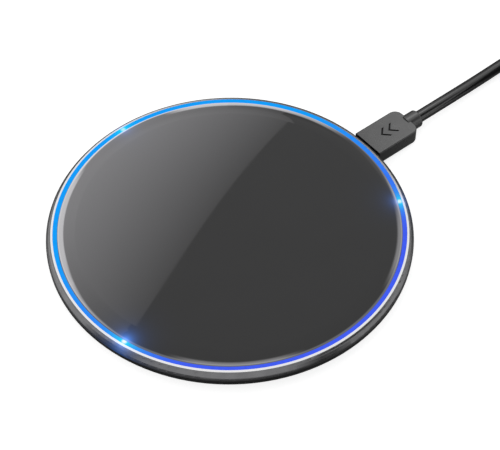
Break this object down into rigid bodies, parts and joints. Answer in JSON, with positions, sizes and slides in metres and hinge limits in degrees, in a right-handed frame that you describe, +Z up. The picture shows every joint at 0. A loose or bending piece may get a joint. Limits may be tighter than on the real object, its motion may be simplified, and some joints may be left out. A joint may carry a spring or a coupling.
{
  "type": "wireless charging pad",
  "caption": "Slim round wireless charging pad: black glass top, glowing light ring, dark metal rim and a detachable lead wound in a coil with its far plug beside it.",
  "frame": {"origin": "centre of the round pad on the surface that its foot ring stands on", "axes": "+Z up through the pad's axis towards the device being charged, +Y from the pad's centre out through its socket, +X to the right seen from above with the socket at the back"},
  "size_m": [0.1162, 0.1952, 0.0116],
  "materials": {
    "glass_black": "polished black tempered glass",
    "adhesive": "thin black double-sided film",
    "light_guide": "translucent, glows blue when lit",
    "frame_metal": "black anodised with a bright-cut top edge",
    "shell_plastic": "moulded",
    "cover_plastic": "fine matte texture",
    "silicone": "matte",
    "screw_steel": "zinc plated",
    "circuit_board": "solder mask over glass laminate",
    "ferrite": "sintered, matt",
    "copper_wire": "enamelled litz",
    "foam": "closed-cell foam",
    "chip_epoxy": "moulded epoxy",
    "ceramic": "fired ceramic with tinned ends",
    "led_package": "white package with clear window",
    "connector_steel": "nickel plated",
    "connector_plastic": "glass-filled",
    "contact_gold": "gold plated",
    "cable_jacket": "satin jacket",
    "plug_grip": "satin moulded",
    "insulator": "moulded",
    "tie_strap": "soft strap"
  },
  "bodies": {
    "pad": {"glass_panel": "glass_black", "panel_adhesive": "adhesive", "light_guide_ring": "light_guide", "outer_frame": "frame_metal", "top_shell": "shell_plastic", "bottom_cover": "cover_plastic", "foot_ring": "silicone", "cover_screws": "screw_steel", "main_pcb": "circuit_board", "ferrite_adhesive": "adhesive", "ferrite_sheet": "ferrite", "coil_adhesive": "adhesive", "tx_coil": "copper_wire", "coil_leads": "copper_wire", "coil_foam": "foam", "controller_chip": "chip_epoxy", "bridge_mosfets": "chip_epoxy", "resonance_capacitors": "ceramic", "power_inductor": "ferrite", "filter_capacitors": "ceramic", "chip_resistors": "chip_epoxy", "ring_leds": "led_package", "thermistor": "ceramic", "receptacle_shell": "connector_steel", "receptacle_tongue": "connector_plastic", "receptacle_contacts": "contact_gold"},
    "cable": {"plug_overmold": "plug_grip", "plug_shell": "connector_steel", "plug_insert": "connector_plastic", "plug_contacts": "contact_gold", "plug_latches": "connector_steel", "cable_lead": "cable_jacket", "cable_coil": "cable_jacket", "cable_tail": "cable_jacket", "coil_tie": "tie_strap", "usb_a_overmold": "plug_grip", "usb_a_shell": "connector_steel", "usb_a_insulator": "insulator", "usb_a_contacts": "contact_gold"}
  },
  "joints": [
    {"name": "plug_pull", "type": "slide", "parent": "pad", "child": "cable", "axis": [0, 1, 0], "range_m": [0, 0.008]}
  ]
}
